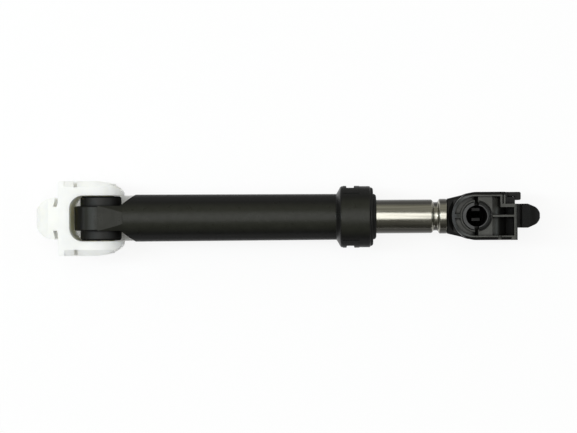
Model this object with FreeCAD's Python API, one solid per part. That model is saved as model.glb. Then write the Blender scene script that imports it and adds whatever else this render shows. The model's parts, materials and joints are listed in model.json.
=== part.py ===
import FreeCAD, Part
import os
from math import asin, atan2, hypot, sin, sqrt, tan

# Friction damper for a washing machine, lying along X, all sizes in millimetres.
# The origin is the middle of the cabinet clip's seat. +X runs to the tub clip and +Z is up.

Vector = FreeCAD.Vector

# Fits
slip_fit = 0.05            # radial gap where one piece is pushed into another
running_fit = 0.08         # radial gap where a round piece turns or slides
swing_gap = 0.4            # gap beside a piece that swings

# Eyes and their bushes
housing_eye_radius = 14.2
rod_eye_radius = 12.4
eye_width = 13.2
eye_edge = 0.6
eye_bore_radius = 9.4
bush_flange_radius = 11.0
bush_flange_thickness = 5.2
bush_edge = 0.9
bush_split_gap = 0.3
sleeve_wall = 0.8

# Pivot pins
pin_radius = 7.2
pin_wall = 1.6
pin_end_recess = 1.2
pin_barb = 0.5
pin_barb_length = 1.3
pin_lip_wall = 0.5
pin_lip_slope = 0.6
pin_slot_width = 2.4
pin_slot_depth = 9.0
lock_head_radius = 8.0
lock_head_thickness = 1.4
lock_plug_length = 4.0
lock_dish_rim = 0.15
lock_dish_depth = 3.6
lock_arm_width = 4.2
lock_arm_thickness = 1.5
lock_arm_upper = 2.7
lock_arm_lower = 1.1
lock_arm_below_face = 8.4

# Clips
eye_to_base_gap = 1.1
base_thickness = 6.0
ear_thickness = 7.7
ear_radius = 12.65
dome_start = 2.0
dome_radius = 20.6
cavity_corner_radius = 7.2
seat_corner_radius = 1.2
rim_height = 3.2
rim_lean = 1.6
rim_wall = 0.7
tip_rib = 2.2
tip_pocket_shift = 0.9
base_rib = 1.0
seat_wall = 1.8
plate_thickness = 3.2
pocket_wall = 1.3
core_half = 8.0
core_recess = 0.3
pocket_ramp = 3.0
shelf_depth = 1.9
shelf_length = 8.2
notch_width = 1.8
notch_depth = 4.6
notch_point = 2.2
counterbore_radius = 8.3
counterbore_depth = 2.9
side_slot_start = 11.0
side_slot_width = 1.95
side_slot_depth = 3.3
bay_lead = 0.35
bay_wall = 2.55
bay_slot_place = 1.0
bay_slot_width = 0.7
latch_wall_height = 4.6
latch_wall = 1.7
latch_root = 1.6
latch_width = 11.0
latch_thickness = 2.1
latch_gap = 0.55
latch_guard = 0.9
latch_reach = 3.0
latch_hook_length = 3.05
latch_hook_drop = 2.2
latch_tip_round = 0.8

# Twist-in head of the clips, with distances along X counted from the seat
panel_gap = 2.6
barb_undercut = 1.0
barb_chamfer = 0.6
neck_width = 12.9
head_width = 22.4
head_height = 12.7
head_reach = 13.1
head_shoulder = 7.2
head_shoulder_drop = 0.8
head_bulge = 10.7
head_bulge_width = 15.8
head_tip_width = 10.4
nose_start = 6.2
nose_taper_end = 10.3
nose_taper_height = 9.4
nose_bulge = 12.1
nose_bulge_height = 6.3
nose_tip_height = 2.6

# Rod
eye_spacing = 200.0
rod_radius = 9.0
rod_wall = 1.2
rod_length = 131.9
mouth_flare = 0.3
mouth_land = 4.3
mouth_round = 0.9
crimp_depth = 1.4
crimp_groove_start = 8.2
crimp_floor_start = 7.3
crimp_floor_width = 2.2
crimp_round = 1.1
end_bush_flange = 4.0
end_bush_spigot = 9.0
end_bush_gap = 0.15
end_bush_hole_radius = 4.5

# Rod eye
neck_length = 14.5
neck_edge = 0.3
spigot_length = 16.0
spigot_bore_radius = 3.5

# Guide parts and lining in the collar
lining_thickness = 2.2
lining_end_gap = 0.4
lining_grip_gap = 0.1
cap_sleeve_wall = 1.85
cap_front_wall = 2.0
cap_flange_inset = 0.75
cap_flange_thickness = 1.3
cap_flange_round = 1.1
cap_lip_width = 3.1
cap_lip_length = 1.7
cap_lip_round = 1.6
cap_tab_gap = 0.35
cap_tab_sink = 0.95
cap_tab_lead = 0.6

# Housing, with distances along X counted from its eye
bore_gap = 1.2
bore_floor = 21.5
tube_wall = 2.05
tube_taper = 0.4
tongue_lead = 1.6
tongue_sink = 0.35
shoulder_end = 19.0
collar_start = 126.5
collar_ramp = 2.3
collar_foot_round = 0.7
collar_crest_round = 1.3
collar_wall = 2.75
collar_length = 18.2
collar_edge = 0.6
ring_seat_inset = 0.5
ring_seat_step = 1.2
pocket_inset = 3.0
window_start = 132.4
window_length = 2.9
window_width = 12.0
window_flare = 0.7
pad_start = 129.9
pad_length = 8.7
pad_rise = 0.22
pad_angle = 80.0

# Values that follow from the sizes above
eye_half = eye_width / 2
bush_end = eye_half + bush_flange_thickness
eye_flat_end = bush_flange_radius + swing_gap
ear_inner = bush_end + swing_gap
clip_half = ear_inner + ear_thickness
rim_inner = ear_radius - rim_lean - rim_wall
base_inner = housing_eye_radius + eye_to_base_gap
bay_start = base_inner - bay_lead
seat_x = base_inner + base_thickness
sleeve_bore_radius = pin_radius + running_fit
sleeve_radius = sleeve_bore_radius + sleeve_wall
pin_bore_radius = pin_radius - pin_wall
pin_end = clip_half - pin_end_recess
counterbore_floor = clip_half - counterbore_depth
bore_radius = rod_radius + bore_gap
tube_radius_at_collar = bore_radius + tube_wall
tube_radius_at_eye = tube_radius_at_collar + tube_taper
ring_seat_radius = bore_radius + ring_seat_step
lining_radius = rod_radius + lining_grip_gap + lining_thickness
cap_sleeve_radius = lining_radius + swing_gap
cap_radius = cap_sleeve_radius + cap_sleeve_wall
pocket_radius = cap_radius + slip_fit
collar_radius = pocket_radius + collar_wall
collar_end = collar_start + collar_length
ring_seat_start = collar_start + ring_seat_inset
pocket_start = collar_start + pocket_inset
window_end = window_start + window_length
tube_start = eye_flat_end + tongue_lead
shoulder_slope = (tube_radius_at_eye - eye_half) / (shoulder_end - eye_flat_end)
shoulder_half = eye_half + tongue_lead * shoulder_slope
rod_mouth_radius = rod_radius + mouth_flare
crimp_groove_radius = rod_radius - crimp_depth
neck_radius = rod_mouth_radius + neck_edge
housing_eye_x = seat_x
rod_eye_x = housing_eye_x + eye_spacing
rod_mouth_x = rod_eye_x - neck_length
rod_start_x = rod_mouth_x - rod_length
axis_x = Vector(1, 0, 0)
axis_y = Vector(0, 1, 0)
axis_z = Vector(0, 0, 1)
origin = Vector(0, 0, 0)
far = 60.0                 # reach of a cutting solid past the piece that it cuts


def in_xy(a, b):
    return Vector(a, b, 0)


def in_xz(a, b):
    return Vector(a, 0, b)


def in_yz(a, b):
    return Vector(0, a, b)


def corner_round(before, corner, after, radius):
    """Start, middle and end of the arc that rounds a corner between two lines."""
    point = in_xy(*corner)
    back = (in_xy(*before) - point).normalize()
    ahead = (in_xy(*after) - point).normalize()
    inwards = (back + ahead).normalize()
    half_angle = back.getAngle(ahead) / 2
    reach = radius / tan(half_angle)
    middle = point + inwards * (radius / sin(half_angle) - radius)
    return [(p.x, p.y) for p in (point + back * reach, middle, point + ahead * reach)]


def step_end(step):
    return step[:2] if len(step) == 3 else step[-2:]


def face_from(plane, *steps):
    """Closed face. A step is a corner (a, b), a corner and its rounding radius (a, b, radius),
    or a point that an arc passes and the arc's end (via_a, via_b, a, b)."""
    path = []
    for number, step in enumerate(steps):
        if len(step) == 3:
            before = step_end(steps[number - 1])
            after = step_end(steps[(number + 1) % len(steps)])
            start, middle, end = corner_round(before, step[:2], after, step[2])
            path += [start, middle + end]
        else:
            path.append(step)
    edges = []
    here = path[-1][-2:]
    for step in path:
        end = step[-2:]
        if hypot(end[0] - here[0], end[1] - here[1]) < 1e-6:
            continue
        if len(step) == 2:
            edges.append(Part.LineSegment(plane(*here), plane(*end)).toShape())
        else:
            edges.append(Part.Arc(plane(*here), plane(*step[:2]), plane(*end)).toShape())
        here = end
    return Part.Face(Part.Wire(edges))


def turned(*steps):
    """Solid turned about X from an outline of (distance along X, radius)."""
    return face_from(in_xy, *steps).revolve(origin, axis_x, 360)


def turned_about_z(*steps):
    """Solid turned about Z from an outline of (radius, height)."""
    return face_from(in_xz, *steps).revolve(origin, axis_z, 360)


def ring(x_start, x_end, inner, outer):
    return turned((x_start, inner), (x_end, inner), (x_end, outer), (x_start, outer))


def rod_along_x(x_start, x_end, radius):
    return Part.makeCylinder(radius, x_end - x_start, Vector(x_start, 0, 0), axis_x)


def rod_along_z(z_start, z_end, radius):
    return Part.makeCylinder(radius, z_end - z_start, Vector(0, 0, z_start), axis_z)


def block(x_start, x_end, y_start, y_end, z_start, z_end):
    size = (x_end - x_start, y_end - y_start, z_end - z_start)
    return Part.makeBox(*size, Vector(x_start, y_start, z_start))


def extruded(face, axis, start, end):
    """Solid of a flat face drawn through the origin, pushed along an axis from start to end."""
    solid = face.extrude(axis * (end - start))
    solid.translate(axis * start)
    return solid


def moved(solid, x, *turns):
    """Copy of a solid after some turns (axis, degrees) about the origin, moved along X."""
    copy = solid.copy()
    for axis, degrees in turns:
        copy.rotate(origin, axis, degrees)
    copy.translate(Vector(x, 0, 0))
    return copy


def mirrored_z(solid):
    return solid.mirror(origin, axis_z)


# Eyes. Each is drawn with its bore along Z and its neck towards +X.


def eye_barrel(radius):
    """Barrel of an eye with broken edges."""
    face_radius = radius - eye_edge
    side_half = eye_half - eye_edge
    return turned_about_z(
        (0, -eye_half),
        (face_radius, -eye_half),
        (radius, -side_half),
        (radius, side_half),
        (face_radius, eye_half),
        (0, eye_half),
    )


def eye_with_neck(radius, root_x, root_half, root_plan, root_radius):
    """Eye with a flat-sided web, tangent to its barrel, to a root of given place, half height, half width and
    round radius."""
    slope = asin(radius / hypot(root_x, root_half)) - atan2(root_half, root_x)
    web_half = root_half + root_x * tan(slope)
    side = face_from(in_xy, (0, -web_half), (root_x, -root_half), (root_x, root_half), (0, web_half))
    plan = face_from(
        in_xz,
        (0, -eye_half),
        (eye_flat_end, -eye_half),
        (root_x, -root_plan),
        (root_x, root_plan),
        (eye_flat_end, eye_half),
        (0, eye_half),
    )
    corner = hypot(web_half, eye_half)
    cone = turned((0, 0), (root_x, 0), (root_x, root_radius), (0, corner))
    reach = radius + root_radius
    web = extruded(side, axis_z, -reach, reach).common(extruded(plan, axis_y, -reach, reach)).common(cone)
    return eye_barrel(radius).fuse(web)


def eye_bore():
    return rod_along_z(-far, far, eye_bore_radius)


def half_bush():
    """Rubber half bush on Z: a hub inside the eye and a thick flange outside it."""
    inner = sleeve_radius + slip_fit
    hub = eye_bore_radius - slip_fit
    return turned_about_z(
        (inner, bush_split_gap / 2),
        (hub, bush_split_gap / 2),
        (hub, eye_half),
        (bush_flange_radius, eye_half),
        (bush_flange_radius, bush_end - bush_edge),
        (bush_flange_radius - bush_edge, bush_end),
        (inner, bush_end),
    )


def bush_sleeve():
    """Hard sleeve on Z that the pin turns in."""
    return rod_along_z(-bush_end, bush_end, sleeve_radius).cut(rod_along_z(-far, far, sleeve_bore_radius))


# Pivot pin and its lock, both on Z


def pivot_pin():
    """Hollow pin whose upper end is split in two, one half barbed and the other sloped off to a thin lip."""
    barb_foot = counterbore_floor + slip_fit
    barb_radius = pin_radius + pin_barb
    pin = turned_about_z(
        (pin_bore_radius, -counterbore_floor),
        (pin_radius, -counterbore_floor),
        (pin_radius, barb_foot),
        (barb_radius, barb_foot),
        (pin_radius, counterbore_floor + pin_barb_length),
        (pin_radius, pin_end),
        (pin_bore_radius, pin_end),
    )
    lip_radius = pin_bore_radius + pin_lip_wall
    slope_foot = pin_end - pin_lip_slope * (barb_radius - lip_radius)
    slope = turned_about_z((lip_radius, pin_end), (barb_radius, slope_foot), (barb_radius, pin_end))
    pin = pin.cut(slope.common(block(0, far, -far, far, -far, far)))
    half_slot = pin_slot_width / 2
    return pin.cut(block(-half_slot, half_slot, -far, far, pin_end - pin_slot_depth, far))


def pin_lock():
    """Cap at the pin's lower end: a dished plug and two snap arms that reach up the bore."""
    head_top = -counterbore_floor
    plug_top = head_top + lock_plug_length
    plug_radius = pin_bore_radius - slip_fit
    lock = turned_about_z(
        (0, head_top - lock_head_thickness),
        (lock_head_radius, head_top - lock_head_thickness),
        (lock_head_radius, head_top),
        (plug_radius, head_top),
        (plug_radius, plug_top),
        (plug_radius - lock_dish_rim, plug_top),
        (0, plug_top - lock_dish_depth),
    )
    arm_top = pin_end - lock_arm_below_face
    half_width = lock_arm_width / 2
    for low in (lock_arm_upper, -lock_arm_lower - lock_arm_thickness):
        lock = lock.fuse(block(-half_width, half_width, low, low + lock_arm_thickness, head_top, arm_top))
    return lock


# Clip. It is drawn with the pin on Z at the origin, its seat towards +X and its latch on +Y.


def ear_outline(inset, x_end):
    """Outline of an ear seen along the pin: a round tip and straight sides, inset evenly, as far as x_end."""
    radius = ear_radius - inset
    return face_from(in_xy, (x_end, -radius), (x_end, radius), (0, radius), (-radius, 0, 0, -radius))


def clip_sides():
    """Space between the clip's sides, which lean in along the rims and stand straight at the seat's plate."""
    foot = clip_half - rim_height
    top = ear_radius - rim_lean
    plate_x = seat_x - plate_thickness
    tip = turned_about_z((0, 0), (ear_radius, 0), (ear_radius, foot), (top, clip_half), (0, clip_half))
    section = face_from(
        in_yz,
        (-ear_radius, 0),
        (ear_radius, 0),
        (ear_radius, foot),
        (top, clip_half),
        (-top, clip_half),
        (-ear_radius, foot),
    )
    plate = block(plate_x, seat_x, -ear_radius, ear_radius, 0, clip_half)
    upper = tip.fuse(extruded(section, axis_x, 0, plate_x)).fuse(plate)
    return upper.fuse(mirrored_z(upper))


def dome_height(x):
    return clip_half - dome_radius + sqrt(dome_radius**2 - (dome_start - x) ** 2)


def clip_edges():
    """Solid of the clip's outline seen along its height: domed ears and rounded seat corners."""
    tip_z = dome_height(-ear_radius)
    middle_x = (dome_start - ear_radius) / 2
    middle_z = dome_height(middle_x)
    outline = face_from(
        in_xz,
        (-ear_radius, -tip_z),
        (middle_x, -middle_z, dome_start, -clip_half),
        (seat_x, -clip_half, seat_corner_radius),
        (seat_x, clip_half, seat_corner_radius),
        (dome_start, clip_half),
        (middle_x, middle_z, -ear_radius, tip_z),
    )
    return extruded(outline, axis_y, -far, far)


def clip_cavity():
    """Space between the ears, with large round corners at the base."""
    corner = cavity_corner_radius
    outline = face_from(
        in_xz,
        (-far, -ear_inner),
        (base_inner, -ear_inner, corner),
        (base_inner, ear_inner, corner),
        (-far, ear_inner),
    )
    return extruded(outline, axis_y, -far, far)


def tip_pockets():
    """Two flat-bottomed pockets in the domed tip, either side of a rib."""
    area = extruded(ear_outline(ear_radius - rim_inner, 0), axis_z, ear_inner + pocket_wall, far)
    area = moved(area, -tip_pocket_shift)
    area = area.cut(rod_along_z(-far, far, counterbore_radius))
    area = area.cut(block(-notch_width / 2, far, -far, far, -far, far))
    return area.cut(block(-far, 0, -tip_rib / 2, tip_rib / 2, -far, far))


def base_pockets():
    """Shelves beside the pin, and deep pockets whose floor keeps an even wall around the cavity's corner."""
    shelf_z = clip_half - shelf_depth
    pocket_end = seat_x - seat_wall
    middle_x = base_inner - cavity_corner_radius
    middle_z = ear_inner - cavity_corner_radius
    floor_radius = cavity_corner_radius + pocket_wall

    def floor_z(x):
        return middle_z + sqrt(floor_radius**2 - (x - middle_x) ** 2)

    low_x = middle_x + sqrt(floor_radius**2 - (core_half - middle_z) ** 2)
    bend_x = (shelf_length + low_x) / 2
    depth = face_from(
        in_xz,
        (notch_width / 2, far),
        (notch_width / 2, shelf_z),
        (shelf_length, shelf_z),
        (shelf_length, floor_z(shelf_length)),
        (bend_x, floor_z(bend_x), low_x, core_half),
        (pocket_end, core_half + pocket_ramp),
        (pocket_end, far),
    )
    pockets = extruded(depth, axis_y, -rim_inner, rim_inner)
    pockets = pockets.cut(rod_along_z(-far, far, counterbore_radius))
    pockets = pockets.cut(block(0, far, -base_rib / 2, base_rib / 2, -far, far))
    return pockets.cut(block(bay_start - bay_wall, far, latch_wall_height, far, -far, far))


def side_slots():
    """Slots through one ear's rim: a wide one opposite the latch and a narrow one in the latch bay's wall."""
    floor_z = clip_half - side_slot_depth
    wide = block(side_slot_start, side_slot_start + side_slot_width, -far, -rim_inner, floor_z, far)
    narrow_x = bay_start - bay_wall + bay_slot_place
    bay_side = latch_wall_height + latch_wall
    return wide.fuse(block(narrow_x, narrow_x + bay_slot_width, bay_side, far, floor_z, far))


def notches():
    """Narrow pointed notches above and below the pin, from the bore to the rim."""
    half_width = notch_width / 2
    floor_z = clip_half - notch_depth
    outline = face_from(
        in_xz,
        (-half_width, far),
        (-half_width, floor_z),
        (0, floor_z - notch_point),
        (half_width, floor_z),
        (half_width, far),
    )
    return extruded(outline, axis_y, -rim_inner, rim_inner)


def latch_bay():
    """Corner that is left open around the latch finger: beside it, under it, and behind its hook."""
    floor_y = latch_wall_height + latch_wall
    beside = block(bay_start, far, floor_y, far, core_half, far)
    slit_y = ear_radius - latch_thickness - latch_gap
    under = block(base_inner + latch_root, far, slit_y, far, latch_guard - core_half, core_half)
    behind = block(seat_x - core_recess, far, floor_y, slit_y, -far, far)
    return beside.fuse(mirrored_z(beside)).fuse(under).fuse(behind)


def latch_finger():
    """Springy finger along the top of the base with a hooked end that reaches past the seat."""
    root_x = base_inner + latch_root / 2
    under = ear_radius - latch_thickness
    tip_x = seat_x + latch_reach
    hook_x = tip_x - latch_hook_length
    hook_y = under - latch_hook_drop
    outline = face_from(
        in_xy,
        (root_x, under),
        (hook_x, under),
        (hook_x, hook_y),
        (tip_x, hook_y, latch_tip_round),
        (tip_x, ear_radius, latch_tip_round),
        (root_x, ear_radius),
    )
    return extruded(outline, axis_z, -latch_width / 2, latch_width / 2)


def clip_head():
    """Twist-in head: a neck through the panel, two hooked barbs along Z and a bullet nose."""
    half_high = head_height / 2
    half_neck = neck_width / 2
    half_wide = head_width / 2
    half_tip = head_tip_width / 2
    barb_x = seat_x + panel_gap
    root_x = barb_x + barb_undercut
    tip_x = seat_x + head_reach
    shoulder_half_width = half_wide - head_shoulder_drop
    side = [
        (root_x, half_neck),
        (barb_x, half_wide - barb_chamfer),
        (barb_x + barb_chamfer, half_wide),
        (seat_x + head_shoulder, shoulder_half_width),
        (seat_x + head_bulge, head_bulge_width / 2, tip_x, half_tip),
    ]
    far_side = [
        (tip_x, -half_tip),
        (seat_x + head_bulge, -head_bulge_width / 2, seat_x + head_shoulder, -shoulder_half_width),
        (barb_x + barb_chamfer, -half_wide),
        (barb_x, -half_wide + barb_chamfer),
        (root_x, -half_neck),
    ]
    wide = face_from(in_xz, *side, *far_side)
    taper_x = seat_x + nose_taper_end
    bulge_x = seat_x + nose_bulge
    high = face_from(
        in_xy,
        (seat_x, -half_high),
        (seat_x + nose_start, -half_high),
        (taper_x, -nose_taper_height / 2),
        (bulge_x, -nose_bulge_height / 2, tip_x, -nose_tip_height / 2),
        (tip_x, nose_tip_height / 2),
        (bulge_x, nose_bulge_height / 2, taper_x, nose_taper_height / 2),
        (seat_x + nose_start, half_high),
        (seat_x, half_high),
    )
    head = extruded(wide, axis_y, -far, far).common(extruded(high, axis_z, -far, far))
    neck_start = base_inner + latch_root
    return head.fuse(block(neck_start, root_x, -half_high, half_high, -half_neck, half_neck))


def clip():
    body = clip_sides().common(clip_edges()).cut(clip_cavity())
    for cutter in (tip_pockets(), base_pockets(), side_slots(), notches()):
        body = body.cut(cutter).cut(mirrored_z(cutter))
    body = body.cut(latch_bay()).fuse(latch_finger()).fuse(clip_head())
    body = body.cut(rod_along_z(-far, far, pin_radius + slip_fit))
    counterbore = rod_along_z(counterbore_floor, far, counterbore_radius)
    return body.cut(counterbore).cut(mirrored_z(counterbore)).removeSplitter()


# Housing and what sits in its collar. Distances along X are counted from the housing's eye.


def housing_tube():
    """Tube and collar, whose near end is sloped off on both sides towards the eye."""
    tube = turned(
        (tube_start, 0),
        (collar_end, 0),
        (collar_end, collar_radius - collar_edge),
        (collar_end - collar_edge, collar_radius),
        (collar_start + collar_ramp, collar_radius, collar_crest_round),
        (collar_start, tube_radius_at_collar, collar_foot_round),
        (tube_start, tube_radius_at_eye),
    )
    slope = face_from(
        in_xy,
        (tube_start, shoulder_half),
        (shoulder_end, tube_radius_at_eye),
        (shoulder_end, far),
        (tube_start, far),
    )
    slope = extruded(slope, axis_z, -far, far)
    return tube.cut(slope).cut(moved(slope, 0, (axis_x, 180)))


def window_cutter():
    """Snap windows through the collar on both sides, slightly wider outside than inside."""
    window = face_from(
        in_xy,
        (window_start, cap_sleeve_radius),
        (window_end, cap_sleeve_radius),
        (window_end, pocket_radius),
        (window_end + window_flare, collar_radius + pad_rise),
        (window_end + window_flare, far),
        (window_start - window_flare, far),
        (window_start - window_flare, collar_radius + pad_rise),
        (window_start, pocket_radius),
    )
    window = extruded(window, axis_z, -window_width / 2, window_width / 2)
    return window.fuse(moved(window, 0, (axis_x, 180)))


def window_pads():
    """Slightly raised pads around the windows."""
    pad_end = pad_start + pad_length
    low = collar_radius - pad_rise
    high = collar_radius + pad_rise
    section = face_from(in_xy, (pad_start, low), (pad_end, low), (pad_end, high), (pad_start, high))
    pad = section.revolve(origin, axis_x, pad_angle)
    return [moved(pad, 0, (axis_x, turn - pad_angle / 2)) for turn in (0, 180)]


def damper_housing():
    tongue_half = tube_radius_at_eye - tongue_sink
    eye = eye_with_neck(housing_eye_radius, tube_start, tongue_half, shoulder_half, tube_radius_at_eye)
    body = moved(eye, 0, (axis_x, 90)).fuse(housing_tube()).fuse(window_pads())
    body = body.cut(moved(eye_bore(), 0, (axis_x, 90)))
    body = body.cut(rod_along_x(bore_floor, collar_end, bore_radius))
    body = body.cut(rod_along_x(ring_seat_start, collar_end, ring_seat_radius))
    body = body.cut(rod_along_x(pocket_start, collar_end, pocket_radius))
    return moved(body.cut(window_cutter()).removeSplitter(), housing_eye_x)


def guide_cap():
    """Cap with a sleeve in the collar, snap tabs in the windows, a flange and a lip around the rod."""
    hole = rod_radius + running_fit
    wall_start = collar_end - cap_front_wall
    flange_radius = collar_radius - cap_flange_inset
    flange_end = collar_end + cap_flange_thickness
    lip_radius = hole + cap_lip_width
    lip_end = flange_end + cap_lip_length
    cap = turned(
        (pocket_start, cap_sleeve_radius),
        (wall_start, cap_sleeve_radius),
        (wall_start, hole),
        (lip_end, hole),
        (lip_end, lip_radius, cap_lip_round),
        (flange_end, lip_radius),
        (flange_end, flange_radius, cap_flange_round),
        (collar_end, flange_radius),
        (collar_end, cap_radius),
        (pocket_start, cap_radius),
    )
    tab_start = window_start + cap_tab_gap
    tab_end = window_end - slip_fit
    tab_top = collar_radius - cap_tab_sink
    wedge = face_from(
        in_xy,
        (tab_start, cap_sleeve_radius),
        (tab_end, cap_sleeve_radius),
        (tab_end, tab_top),
        (tab_start + cap_tab_lead, tab_top),
        (tab_start, tab_top - cap_tab_lead),
    )
    half_width = window_width / 2 - cap_tab_gap
    tab = extruded(wedge, axis_z, -half_width, half_width)
    tabs = tab.fuse(moved(tab, 0, (axis_x, 180))).cut(rod_along_x(0, collar_end, cap_sleeve_radius))
    return moved(cap.fuse(tabs).removeSplitter(), housing_eye_x)


def rear_guide_ring():
    inner = rod_radius + running_fit
    return moved(ring(ring_seat_start, pocket_start, inner, ring_seat_radius - slip_fit), housing_eye_x)


def friction_lining():
    """Foam ring between the guide ring and the cap's front wall."""
    start = pocket_start + lining_end_gap
    end = collar_end - cap_front_wall - lining_end_gap
    return moved(ring(start, end, rod_radius + lining_grip_gap, lining_radius), housing_eye_x)


# Rod


def rod_corners(inset, soft, mouth_soft):
    """Corners of the rod's wall from its mouth to its straight part, less an inset, with rounding radii."""
    floor_x = rod_mouth_x - crimp_floor_start
    return [
        (rod_mouth_x, rod_mouth_radius - inset, mouth_soft),
        (rod_mouth_x - mouth_land, rod_mouth_radius - inset, soft),
        (floor_x + crimp_floor_width, crimp_groove_radius - inset, soft),
        (floor_x, crimp_groove_radius - inset, soft),
        (rod_mouth_x - crimp_groove_start, rod_radius - inset, soft),
    ]


def rod_tube():
    """Steel tube with a rolled crimp groove and a rounded mouth."""
    outer = rod_corners(0, crimp_round, mouth_round)
    inner = rod_corners(rod_wall, 0, 0)
    straight = [(rod_start_x, rod_radius), (rod_start_x, rod_radius - rod_wall)]
    return turned(*outer, *straight, *reversed(inner))


def rod_end_bush():
    """Bush in the rod's inner end: a flange that runs in the housing's bore and a spigot inside the rod."""
    spigot_radius = rod_radius - rod_wall - slip_fit
    flange_radius = bore_radius - end_bush_gap
    return turned(
        (rod_start_x - end_bush_flange, end_bush_hole_radius),
        (rod_start_x + end_bush_spigot, end_bush_hole_radius),
        (rod_start_x + end_bush_spigot, spigot_radius),
        (rod_start_x, spigot_radius),
        (rod_start_x, flange_radius),
        (rod_start_x - end_bush_flange, flange_radius),
    )


def rod_eye():
    """Eye and neck, with a spigot that fills the crimped end of the rod."""
    eye = eye_with_neck(rod_eye_radius, neck_length, rod_mouth_radius, neck_radius, neck_radius)
    eye = moved(eye.cut(eye_bore()), rod_eye_x, (axis_z, 180))
    spigot_x = rod_mouth_x - spigot_length
    inside = rod_corners(rod_wall + slip_fit, 0, 0)
    spigot_end = (spigot_x, rod_radius - rod_wall - slip_fit)
    spigot = turned((rod_mouth_x, 0), *inside, spigot_end, (spigot_x, 0))
    return eye.fuse(spigot).cut(rod_along_x(spigot_x, rod_mouth_x, spigot_bore_radius)).removeSplitter()


def parts():
    """Every piece by its name, in its place."""
    on_y = (axis_x, 90)
    flipped = (axis_x, 180)
    faces_cabinet = ((axis_z, 180), on_y)
    bush = half_bush()
    the_clip = clip()
    pin = pivot_pin()
    lock = pin_lock()
    return {
        "cabinet_clip": moved(the_clip, housing_eye_x, *faces_cabinet),
        "cabinet_pivot_pin": moved(pin, housing_eye_x, *faces_cabinet),
        "cabinet_pin_lock": moved(lock, housing_eye_x, *faces_cabinet),
        "damper_housing": damper_housing(),
        "housing_bush_left": moved(bush, housing_eye_x, (axis_x, -90)),
        "housing_bush_right": moved(bush, housing_eye_x, on_y),
        "housing_bush_sleeve": moved(bush_sleeve(), housing_eye_x, on_y),
        "guide_cap": guide_cap(),
        "rear_guide_ring": rear_guide_ring(),
        "friction_lining": friction_lining(),
        "rod_tube": rod_tube(),
        "rod_end_bush": rod_end_bush(),
        "rod_eye": rod_eye(),
        "rod_bush_upper": moved(bush, rod_eye_x),
        "rod_bush_lower": moved(bush, rod_eye_x, flipped),
        "rod_bush_sleeve": moved(bush_sleeve(), rod_eye_x),
        "tub_clip": moved(the_clip, rod_eye_x),
        "tub_pivot_pin": moved(pin, rod_eye_x),
        "tub_pin_lock": moved(lock, rod_eye_x),
    }


os.makedirs("parts", exist_ok=True)
for name, solid in parts().items():
    solid.exportStep(f"parts/{name}.step")
    print(name, solid.ShapeType, len(solid.Solids), "solids, volume", round(solid.Volume, 1), solid.isValid())
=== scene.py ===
import json
import math

import bpy
from mathutils import Matrix, Vector


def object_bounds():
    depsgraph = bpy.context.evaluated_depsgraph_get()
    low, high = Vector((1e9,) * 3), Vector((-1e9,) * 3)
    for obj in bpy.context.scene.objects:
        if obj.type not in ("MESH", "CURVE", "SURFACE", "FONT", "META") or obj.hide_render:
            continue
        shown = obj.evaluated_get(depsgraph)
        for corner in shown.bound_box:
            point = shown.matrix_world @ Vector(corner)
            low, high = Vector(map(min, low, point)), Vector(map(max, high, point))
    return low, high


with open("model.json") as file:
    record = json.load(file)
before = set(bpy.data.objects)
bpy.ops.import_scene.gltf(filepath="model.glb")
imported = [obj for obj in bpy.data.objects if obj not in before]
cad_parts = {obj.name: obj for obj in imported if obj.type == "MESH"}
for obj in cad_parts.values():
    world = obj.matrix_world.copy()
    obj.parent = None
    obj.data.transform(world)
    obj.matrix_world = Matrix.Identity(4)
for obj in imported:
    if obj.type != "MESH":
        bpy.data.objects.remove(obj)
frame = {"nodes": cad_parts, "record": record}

cad_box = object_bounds()

# Camera, in metres and degrees. The photograph looks straight down at the damper, which lies a little askew
# and a little tilted, with its cabinet end lower than its tub end.
camera_distance = 0.970
camera_target = Vector((0.1221, 0.00036, 0))
camera_tilt = 1.84
camera_roll = -0.37
view_width = 0.3091
sensor_width = 36.0

# Lamps, in metres and watts, all aimed at the camera's target: a large soft one overhead, a narrow one and a
# low one at the left, and a faint one at the right
plain_white = (1, 1, 1)
sky_colour = (0.86, 0.94, 1.0)
lamps = {
    "key_light": dict(place=(0.04, 0.08, 1.28), size=(0.90, 0.94), power=8.5, colour=plain_white),
    "fill_light": dict(place=(-0.63, 0.10, 0.94), size=(0.15, 0.60), power=4.0, colour=sky_colour),
    "side_light": dict(place=(-1.15, 0.05, 0.28), size=(0.55, 0.35), power=1.4, colour=sky_colour),
    "far_light": dict(place=(1.05, 0.10, 0.80), size=(0.50, 0.50), power=2.4, colour=sky_colour),
}

# Surroundings, which get brighter from the near side, -Y, to the far one
world_colour = (1.0, 0.985, 0.86, 1)
world_near = 0.05
world_away = 0.50

# Floor, in metres. Its glow is the share of plain white in what the eye sees of it. In the shaded patch under
# the white clip, given by its middle and half size, it doesn't glow and the shadow shows whole.
floor_size = 4.0
floor_glow = 0.86
shaded_middle = (0.036, 0.0)
shaded_reach = (0.0435, 0.0127)
paper_spot = 0.02
paper_dark = (0.95, 0.95, 0.95)
paper_light = (0.96, 0.96, 0.96)

# Values that the material helpers share. The middle range is where most of a noise lies, and the ends of a
# patch are shares of its half size.
noise_middle = (0.3, 0.7)
occlusion_samples = 8
patch_soft_end = 0.6
patch_sharp_end = 0.94

# Moulded grain, with sizes in metres, and how much smoother and rougher the surface is in places
roughness_spot = 0.003
smoother = 0.05
rougher = 0.06
mould_spot = 0.0006
mould_detail = 2.0
mould_depth = 0.00001

# Pale plastic. The fork is the space inside the white clip, given by its middle and half size from above. Its
# creases get a painted grey shade, and those inside the fork a painted olive shade.
pale_spot = 0.009
pale_crease_reach = 0.010
pale_crease_range = (0.0, 0.5)
crease_shade_colour = (0.80, 0.80, 0.79)
fork_middle = (0.030, 0.0)
fork_reach = (0.034, 0.014)
# Olive of the painted shade in creases inside the fork
fork_shade_colour = (0.97, 0.955, 0.62)
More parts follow.
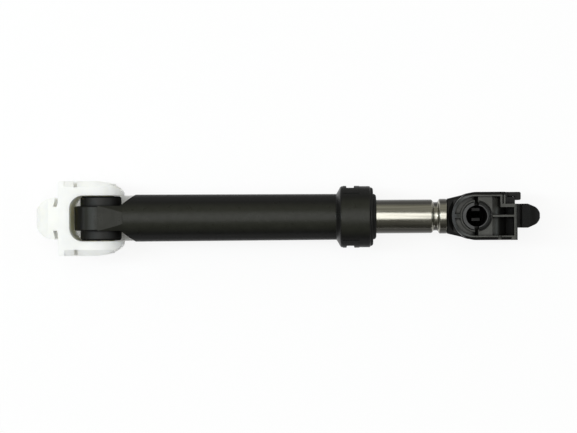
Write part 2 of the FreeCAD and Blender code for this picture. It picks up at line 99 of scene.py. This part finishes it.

# Black plastic, with painted light: tops above a height are painted lighter, while steep sides, creases and
# lower places are painted dark, and the sheen is painted stronger on tops and slopes to -X. The facing ranges
# are of one part of the surface's normal. Heights are in metres: everywhere is a height below the whole part,
# and the clip's shelf one between its deep pockets and its shelves.
black_spot = 0.004
# Reach and range of the painted shade in creases
black_crease_reach = 0.002
black_crease_range = (0.25, 0.85)
shaded_side_black = (0.0085, 0.0085, 0.008)
painted_light_facing = (0.72, 0.97)
top_facing = (0.45, 0.95)
left_facing = (0.45, 0.80)
painted_light_fade = 0.001
# Share of the painted sheen kept below the height, a painted shade in the clip's deep pockets
low_shine_share = 0.35
everywhere = -1
clip_shelf = 0.013

# Drawn steel, with lines and haze stretched along X, and a painted shade on its sides that face +Y or -Y
streak_spot = 0.0014
streak_stretch = (40, 1, 1)
streak_detail = 6.0
streak_depth = 0.00001
haze_spot = 0.004
haze_stretch = (4, 1, 1)
steel_smoother = 0.03
steel_rougher = 0.04
steel_sideways = (0.77, 0.60)

# Greased foam
foam_cell = 0.0008
foam_depth = 0.0002
foam_dark = (0.16, 0.15, 0.12)
foam_light = (0.36, 0.34, 0.29)


# Material helpers


class Surface:
    """A material's node tree with its main shader and the few nodes that the materials below share."""

    def __init__(self, name):
        self.material = bpy.data.materials.new(name)
        self.material.use_nodes = True
        self.tree = self.material.node_tree
        self.shader = self.tree.nodes["Principled BSDF"]
        coordinates = self.add("ShaderNodeTexCoord")
        self.place = coordinates.outputs["Object"]
        self.facing = coordinates.outputs["Normal"]

    def add(self, kind, **settings):
        node = self.tree.nodes.new(kind)
        for key, value in settings.items():
            setattr(node, key, value)
        return node

    def join(self, output, target):
        self.tree.links.new(output, target)

    def feed(self, name, output):
        """Joins an output to one of the shader's sockets."""
        self.join(output, self.shader.inputs[name])

    def set(self, **values):
        """Sets shader sockets to plain values, with spaces in their names written as underscores."""
        for name, value in values.items():
            self.shader.inputs[name.replace("_", " ")].default_value = value

    def part(self, vector, axis):
        """One of a vector's three parts."""
        parts = self.add("ShaderNodeSeparateXYZ")
        self.join(vector, parts.inputs["Vector"])
        return parts.outputs[axis]

    def result(self, operation, *values):
        node = self.add("ShaderNodeMath", operation=operation)
        for value, target in zip(values, node.inputs):
            self.join(value, target)
        return node.outputs["Value"]

    def times(self, first, second):
        return self.result("MULTIPLY", first, second)

    def either(self, first, second):
        return self.result("MAXIMUM", first, second)

    def ranged(self, value, source, target, kind="LINEAR"):
        """A value taken from one range to another."""
        node = self.add("ShaderNodeMapRange", interpolation_type=kind)
        node.inputs["From Min"].default_value, node.inputs["From Max"].default_value = source
        node.inputs["To Min"].default_value, node.inputs["To Max"].default_value = target
        self.join(value, node.inputs["Value"])
        return node.outputs["Result"]

    def eased(self, value, start, end):
        """Smooth step from 0 where a value is start to 1 where it is end."""
        return self.ranged(value, (start, end), (0, 1), "SMOOTHSTEP")

    def between(self, share, low, high):
        """A number that goes from low to high as the share goes from 0 to 1."""
        return self.ranged(share, (0, 1), (low, high))

    def spread(self, value, low, high):
        """A noise value's middle range, spread between two numbers."""
        return self.ranged(value, noise_middle, (low, high))

    def upward(self, start, end):
        """How far the surface faces up, from 0 where its normal's height is start to 1 where it is end."""
        return self.eased(self.part(self.facing, "Z"), start, end)

    def leftward(self, start, end):
        """How far the surface faces -X, from 0 where its normal does by start to 1 where it does by end."""
        return self.eased(self.part(self.facing, "X"), -start, -end)

    def not_sideways(self, start, end):
        """1 where the surface faces +Y or -Y by less than end, down to 0 where it does by more than start."""
        sideways = self.result("ABSOLUTE", self.part(self.facing, "Y"))
        return self.eased(sideways, start, end)

    def above(self, low, high):
        """0 below one height of the piece and 1 above another."""
        return self.eased(self.part(self.place, "Z"), low, high)

    def outside_patch(self, middle, reach):
        """0 inside a box seen from above and 1 outside it, with soft ends along X and sharp ones along Y."""
        mapping = self.add("ShaderNodeMapping")
        mapping.inputs["Location"].default_value = (-middle[0] / reach[0], -middle[1] / reach[1], 0)
        mapping.inputs["Scale"].default_value = (1 / reach[0], 1 / reach[1], 0)
        self.join(self.place, mapping.inputs["Vector"])
        distances = self.add("ShaderNodeVectorMath", operation="ABSOLUTE")
        self.join(mapping.outputs["Vector"], distances.inputs[0])
        along = self.eased(self.part(distances.outputs["Vector"], "X"), 1.0, patch_soft_end)
        across = self.eased(self.part(distances.outputs["Vector"], "Y"), 1.0, patch_sharp_end)
        return self.between(self.times(along, across), 1.0, 0.0)

    def openness(self, reach):
        """How much of the space around a spot is free, as far as a reach in metres."""
        node = self.add("ShaderNodeAmbientOcclusion", samples=occlusion_samples)
        node.inputs["Distance"].default_value = reach
        return node.outputs["AO"]

    def noise(self, spot, stretch=(1, 1, 1), detail=4.0):
        """Noise whose spots are about the given size in metres, stretched along the axes."""
        mapping = self.add("ShaderNodeMapping")
        mapping.inputs["Scale"].default_value = [1 / (spot * s) for s in stretch]
        self.join(self.place, mapping.inputs["Vector"])
        noise = self.add("ShaderNodeTexNoise")
        noise.inputs["Scale"].default_value = 1.0
        noise.inputs["Detail"].default_value = detail
        self.join(mapping.outputs["Vector"], noise.inputs["Vector"])
        return noise.outputs["Fac"]

    def colours(self, value, low, high):
        """Colour between two others, by a noise value's middle range."""
        ramp = self.add("ShaderNodeValToRGB")
        for element, position, colour in zip(ramp.color_ramp.elements, noise_middle, (low, high)):
            element.position = position
            element.color = (*colour, 1)
        self.join(value, ramp.inputs["Fac"])
        return ramp.outputs["Color"]

    def over(self, share, below, above):
        """A plain colour with another colour over it by a share."""
        mix = self.add("ShaderNodeMix", data_type="RGBA")
        rgba = [socket for socket in mix.inputs if socket.type == "RGBA"]
        rgba[0].default_value = (*below, 1)
        self.join(share, mix.inputs["Factor"])
        self.join(above, rgba[1])
        return [socket for socket in mix.outputs if socket.type == "RGBA"][0]

    def bump(self, height, depth):
        """Bumps of the given depth in metres."""
        node = self.add("ShaderNodeBump")
        node.inputs["Strength"].default_value = 1.0
        node.inputs["Distance"].default_value = depth
        self.join(height, node.inputs["Height"])
        self.feed("Normal", node.outputs["Normal"])

    def moulded(self, roughness):
        """The uneven gloss and fine grain of moulded plastic."""
        patches = self.noise(roughness_spot)
        self.feed("Roughness", self.spread(patches, roughness - smoother, roughness + rougher))
        self.bump(self.noise(mould_spot, detail=mould_detail), mould_depth)

    def glow_to_eye(self, share, where):
        """Mixes white light into what the camera, mirrors and glass see of the surface in some places."""
        path = self.add("ShaderNodeLightPath")
        rays = path.outputs["Is Camera Ray"]
        for kind in ("Is Glossy Ray", "Is Transmission Ray"):
            rays = self.either(rays, path.outputs[kind])
        white = self.add("ShaderNodeEmission")
        mix = self.add("ShaderNodeMixShader")
        self.join(self.times(rays, self.between(where, 0, share)), mix.inputs["Fac"])
        self.join(self.shader.outputs["BSDF"], mix.inputs[1])
        self.join(white.outputs["Emission"], mix.inputs[2])
        self.join(mix.outputs["Shader"], self.tree.nodes["Material Output"].inputs["Surface"])


# Materials


def plastic(name, dark, light, roughness):
    """Pale moulded plastic: cloudy, with a painted grey shade in creases and a painted olive shade inside the
    fork.
    """
    surface = Surface(name)
    clouds = surface.colours(surface.noise(pale_spot), dark, light)
    open_places = surface.eased(surface.openness(pale_crease_reach), *pale_crease_range)
    outside = surface.outside_patch(fork_middle, fork_reach)
    inside = surface.between(outside, 1.0, 0.0)
    # Creases outside the fork are painted grey, a painted shade.
    shade_greyed = surface.over(surface.either(open_places, inside), crease_shade_colour, clouds)
    # Creases inside the fork are painted olive, a painted shade.
    surface.feed("Base Color", surface.over(surface.either(open_places, outside), fork_shade_colour, shade_greyed))
    surface.moulded(roughness)
    surface.set(Specular_IOR_Level=0.4, Subsurface_Weight=0.5, Subsurface_Scale=0.007)
    surface.set(Subsurface_Radius=(1.0, 0.97, 0.8))
    return surface.material


def black_plastic(name, dark, light, roughness, side_shine, top_shine, left_shine, painted_light_height):
    """Black plastic with painted shade on sides, in creases and low places, and painted light and sheen on
    tops.
    """
    surface = Surface(name)
    open_places = surface.eased(surface.openness(black_crease_reach), *black_crease_range)
    high = surface.above(painted_light_height - painted_light_fade, painted_light_height)
    # Open tops above the height are painted lighter. Steep sides, creases and lower places keep a painted
    # dark shade.
    painted_top_light = surface.times(surface.times(surface.upward(*painted_light_facing), open_places), high)
    # Sheen painted by facing: stronger on tops and on slopes that face -X toward the left lamps, weaker on
    # steep sides and below the height, where it is a painted shade in deep pockets.
    clear = surface.between(high, low_shine_share, 1.0)
    top = surface.between(surface.times(surface.upward(*top_facing), clear), side_shine, top_shine)
    left = surface.between(surface.times(surface.leftward(*left_facing), clear), side_shine, left_shine)
    clouds = surface.colours(surface.noise(black_spot), dark, light)
    surface.feed("Base Color", surface.over(painted_top_light, shaded_side_black, clouds))
    surface.feed("Specular IOR Level", surface.either(top, left))
    # Reflection painted darker in creases, a painted shade.
    surface.feed("Specular Tint", open_places)
    surface.moulded(roughness)
    return surface.material


def drawn_steel(name, side, dark, light, roughness):
    """Bright steel with fine lines along X, and a painted shade darkening its sides."""
    surface = Surface(name)
    surface.set(Metallic=1.0)
    streaks = surface.noise(streak_spot, streak_stretch, streak_detail)
    lines = surface.colours(streaks, dark, light)
    # Sides facing +Y or -Y are painted darker, a painted shade of their reflection.
    surface.feed("Base Color", surface.over(surface.not_sideways(*steel_sideways), side, lines))
    haze = surface.noise(haze_spot, haze_stretch)
    surface.feed("Roughness", surface.spread(haze, roughness - steel_smoother, roughness + steel_rougher))
    surface.bump(streaks, streak_depth)
    return surface.material


def foam(name):
    surface = Surface(name)
    cells = surface.noise(foam_cell)
    surface.feed("Base Color", surface.colours(cells, foam_dark, foam_light))
    surface.set(Roughness=0.9)
    surface.bump(cells, foam_depth)
    return surface.material


finishes = {
    "white_clip_plastic": (plastic, dict(
        dark=(0.86, 0.86, 0.83), light=(0.90, 0.90, 0.875), roughness=0.38,
    )),
    "white_pin_plastic": (plastic, dict(
        dark=(0.83, 0.83, 0.80), light=(0.87, 0.87, 0.84), roughness=0.42,
    )),
    "housing_plastic": (black_plastic, dict(
        dark=(0.018, 0.0185, 0.014), light=(0.022, 0.0225, 0.0175), roughness=0.31,
        side_shine=0.03, top_shine=0.135, left_shine=0.135, painted_light_height=everywhere,
    )),
    "bush_rubber": (black_plastic, dict(
        dark=(0.010, 0.010, 0.009), light=(0.016, 0.016, 0.014), roughness=0.50,
        side_shine=0.02, top_shine=0.24, left_shine=0.24, painted_light_height=everywhere,
    )),
    "sleeve_steel": (drawn_steel, dict(
        side=(0.30, 0.30, 0.29), dark=(0.42, 0.42, 0.41), light=(0.50, 0.50, 0.49), roughness=0.28,
    )),
    "cap_plastic": (black_plastic, dict(
        dark=(0.006, 0.006, 0.006), light=(0.010, 0.010, 0.009), roughness=0.46,
        side_shine=0.02, top_shine=0.20, left_shine=0.20, painted_light_height=everywhere,
    )),
    "guide_plastic": (plastic, dict(
        dark=(0.66, 0.64, 0.58), light=(0.74, 0.72, 0.67), roughness=0.45,
    )),
    "lining_foam": (foam, dict()),
    "rod_steel": (drawn_steel, dict(
        side=(0.05, 0.048, 0.042), dark=(0.20, 0.195, 0.165), light=(0.42, 0.41, 0.365), roughness=0.23,
    )),
    "rod_eye_plastic": (black_plastic, dict(
        dark=(0.006, 0.006, 0.005), light=(0.010, 0.010, 0.009), roughness=0.42,
        side_shine=0.01, top_shine=0.20, left_shine=0.20, painted_light_height=everywhere,
    )),
    "black_clip_plastic": (black_plastic, dict(
        dark=(0.028, 0.029, 0.0235), light=(0.040, 0.041, 0.034), roughness=0.34,
        side_shine=0.004, top_shine=0.27, left_shine=0.85, painted_light_height=clip_shelf,
    )),
    "black_pin_plastic": (black_plastic, dict(
        dark=(0.020, 0.021, 0.021), light=(0.028, 0.029, 0.029), roughness=0.34,
        side_shine=0.004, top_shine=0.30, left_shine=0.85, painted_light_height=clip_shelf,
    )),
}


def dress_nodes():
    """Gives every solid the material of its slot in the record."""
    materials = {slot: make(slot, **values) for slot, (make, values) in finishes.items()}
    for subpart in frame["record"]["subparts"]:
        mesh = frame["nodes"][subpart["node"]].data
        mesh.materials.clear()
        mesh.materials.append(materials[subpart["material_slot"]])


# Stage


def floor():
    mesh = bpy.data.meshes.new("floor")
    half = floor_size / 2
    low = cad_box[0][2]
    corners = [(-half, -half, low), (half, -half, low), (half, half, low), (-half, half, low)]
    mesh.from_pydata(corners, [], [(0, 1, 2, 3)])
    ground = bpy.data.objects.new("floor", mesh)
    bpy.context.scene.collection.objects.link(ground)
    surface = Surface("floor_paper")
    surface.feed("Base Color", surface.colours(surface.noise(paper_spot), paper_dark, paper_light))
    surface.set(Roughness=1.0, Specular_IOR_Level=0.0)
    surface.glow_to_eye(floor_glow, surface.outside_patch(shaded_middle, shaded_reach))
    mesh.materials.append(surface.material)


def area_light(name, place, size, power, colour):
    light = bpy.data.lights.new(name, "AREA")
    light.shape = "RECTANGLE"
    light.size, light.size_y = size
    light.energy = power
    light.color = colour
    lamp = bpy.data.objects.new(name, light)
    lamp.location = place
    aim = camera_target - Vector(place)
    lamp.rotation_euler = aim.to_track_quat("-Z", "Y").to_euler()
    bpy.context.scene.collection.objects.link(lamp)


def surroundings():
    """Surroundings whose strength follows the direction's Y part, which goes from -1 to 1."""
    world = bpy.data.worlds.new("studio")
    world.use_nodes = True
    tree = world.node_tree
    background = tree.nodes["Background"]
    background.inputs["Color"].default_value = world_colour
    direction = tree.nodes.new("ShaderNodeTexCoord")
    parts = tree.nodes.new("ShaderNodeSeparateXYZ")
    level = tree.nodes.new("ShaderNodeMapRange")
    level.inputs["From Min"].default_value = -1.0
    level.inputs["To Min"].default_value = world_near
    level.inputs["To Max"].default_value = world_away
    tree.links.new(direction.outputs["Generated"], parts.inputs["Vector"])
    tree.links.new(parts.outputs["Y"], level.inputs["Value"])
    tree.links.new(level.outputs["Result"], background.inputs["Strength"])
    bpy.context.scene.world = world


def studio():
    for name, values in lamps.items():
        area_light(name, **values)
    surroundings()
    bpy.context.scene.view_settings.view_transform = "Standard"


def camera():
    data = bpy.data.cameras.new("camera")
    data.sensor_fit = "HORIZONTAL"
    data.sensor_width = sensor_width
    data.lens = sensor_width * camera_distance / view_width
    eye = bpy.data.objects.new("camera", data)
    tilt = Matrix.Rotation(math.radians(camera_tilt), 3, "Y")
    eye.location = camera_target + tilt @ Vector((0, 0, camera_distance))
    eye.rotation_euler = (tilt @ Matrix.Rotation(math.radians(camera_roll), 3, "Z")).to_euler()
    bpy.context.scene.collection.objects.link(eye)
    bpy.context.scene.camera = eye


dress_nodes()
floor()
studio()
camera()
